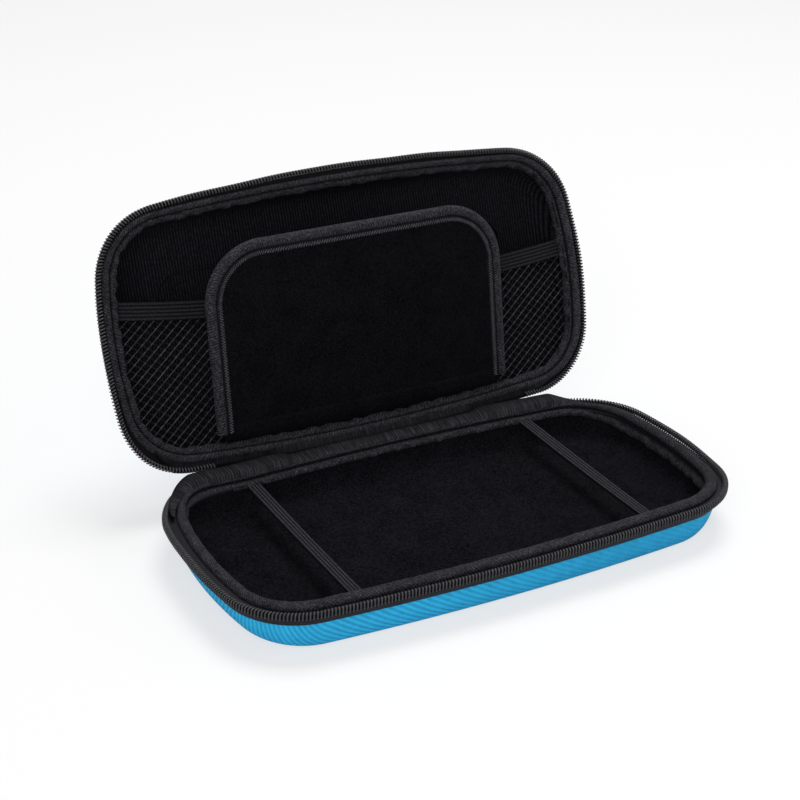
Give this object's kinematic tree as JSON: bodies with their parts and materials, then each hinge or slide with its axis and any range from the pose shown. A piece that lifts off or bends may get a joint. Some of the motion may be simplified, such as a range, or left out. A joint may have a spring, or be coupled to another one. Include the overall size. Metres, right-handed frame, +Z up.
{
  "type": "portable game console case",
  "caption": "Moulded zip-up carrying case for a handheld game console, standing open, with elastic straps in the base and a net pocket behind a padded flap in the lid.",
  "frame": {"origin": "middle of the base's flat bottom face", "axes": "+Z up out of the base, +X along the case's length to the right, -Y towards the front, with the hinge at the back along X"},
  "size_m": [0.2456, 0.1893, 0.1345],
  "materials": {
    "outer_fabric": "matte",
    "lining": "matte",
    "piping": "satin",
    "zip_tape": "matte",
    "zip_coil": "satin",
    "binding": "matte",
    "spine_fabric": "matte",
    "elastic": "matte",
    "netting": "matte",
    "flap_fabric": "matte",
    "slider_metal": "satin"
  },
  "bodies": {
    "base": {"base_shell": "outer_fabric", "base_lining": "lining", "base_piping": "piping", "base_zip_tape": "zip_tape", "base_zip_coil": "zip_coil", "base_binding": "binding", "base_spine": "spine_fabric", "strap_left": "elastic", "strap_right": "elastic"},
    "lid": {"lid_shell": "outer_fabric", "lid_lining": "lining", "lid_piping": "piping", "lid_zip_tape": "zip_tape", "lid_zip_coil": "zip_coil", "lid_binding": "binding", "lid_spine": "spine_fabric", "mesh_pocket": "netting", "pocket_band": "elastic"},
    "flap": {"flap_panel": "flap_fabric", "flap_binding": "binding"},
    "slider_left": {"slider_left": "slider_metal"},
    "pull_left": {"pull_left": "slider_metal"},
    "slider_right": {"slider_right": "slider_metal"},
    "pull_right": {"pull_right": "slider_metal"}
  },
  "joints": [
    {"name": "lid_hinge", "type": "hinge", "parent": "base", "child": "lid", "pos_m": [0, 0.063, 0.0181], "axis": [-1, 0, 0], "range_deg": [-110.6, 64.4], "deforming": ["strap_left", "strap_right"]},
    {"name": "flap_hinge", "type": "hinge", "parent": "lid", "child": "flap", "pos_m": [0, 0.0731, 0.02961], "axis": [1, 0, 0], "range_deg": [-10.5, 90]},
    {"name": "slider_left_travel", "type": "slide", "parent": "base", "child": "slider_left", "axis": [-0.9985, -0.0545, 0], "range_m": [0, 0.014]},
    {"name": "pull_left_swing", "type": "hinge", "parent": "slider_left", "child": "pull_left", "pos_m": [-0.06, 0.06136, 0.0196], "axis": [-0.0545, 0.9985, 0], "range_deg": [-60, 60]},
    {"name": "slider_right_travel", "type": "slide", "parent": "base", "child": "slider_right", "axis": [0.9985, -0.0545, 0], "range_m": [0, 0.014]},
    {"name": "pull_right_swing", "type": "hinge", "parent": "slider_right", "child": "pull_right", "pos_m": [0.06, 0.06136, 0.0196], "axis": [0.0545, 0.9985, 0], "range_deg": [-60, 60]}
  ]
}
